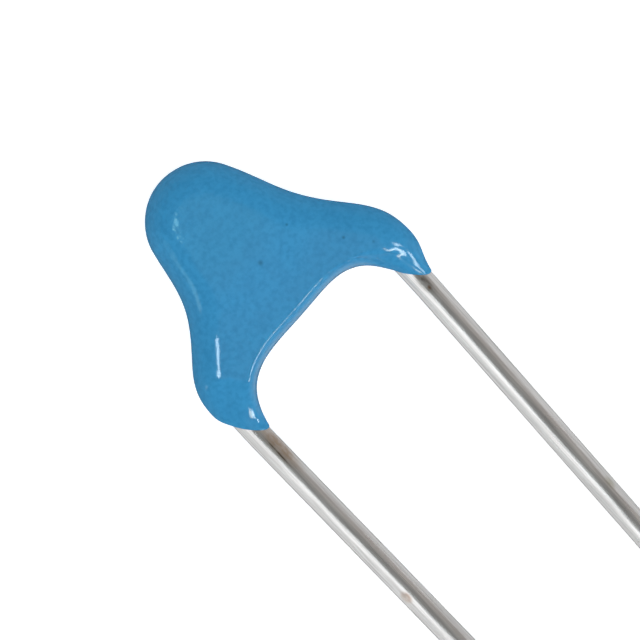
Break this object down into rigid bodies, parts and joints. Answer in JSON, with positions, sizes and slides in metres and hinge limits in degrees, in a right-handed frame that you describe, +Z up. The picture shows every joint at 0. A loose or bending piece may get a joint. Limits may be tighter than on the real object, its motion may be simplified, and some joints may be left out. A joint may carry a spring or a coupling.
{
  "type": "ceramic disc capacitor",
  "caption": "Small radial ceramic capacitor: a rounded head that flares into kinked legs, dipped in glossy blue epoxy, on straight tinned wires that run on in one plane.",
  "frame": {"origin": "on the plane the part lies on (Z = 0), under the middle of the whole part: midway across the coating and midway between the top of the head and the cut ends of the wires", "axes": "+Y along the part from the wires' cut ends to the head; +X across it, from the left wire to the right one; +Z up, out of the face that the right wire is soldered to"},
  "size_m": [0.0062, 0.0308, 0.0021],
  "materials": {
    "coating": "gloss",
    "ceramic": "matte",
    "silver": "matte",
    "solder": "satin",
    "wire": "satin"
  },
  "bodies": {
    "root": {"coating": "coating", "ceramic_disc": "ceramic", "electrode_front": "silver", "electrode_back": "silver", "solder_front": "solder", "solder_back": "solder", "lead_left": "wire", "lead_right": "wire"}
  },
  "joints": []
}
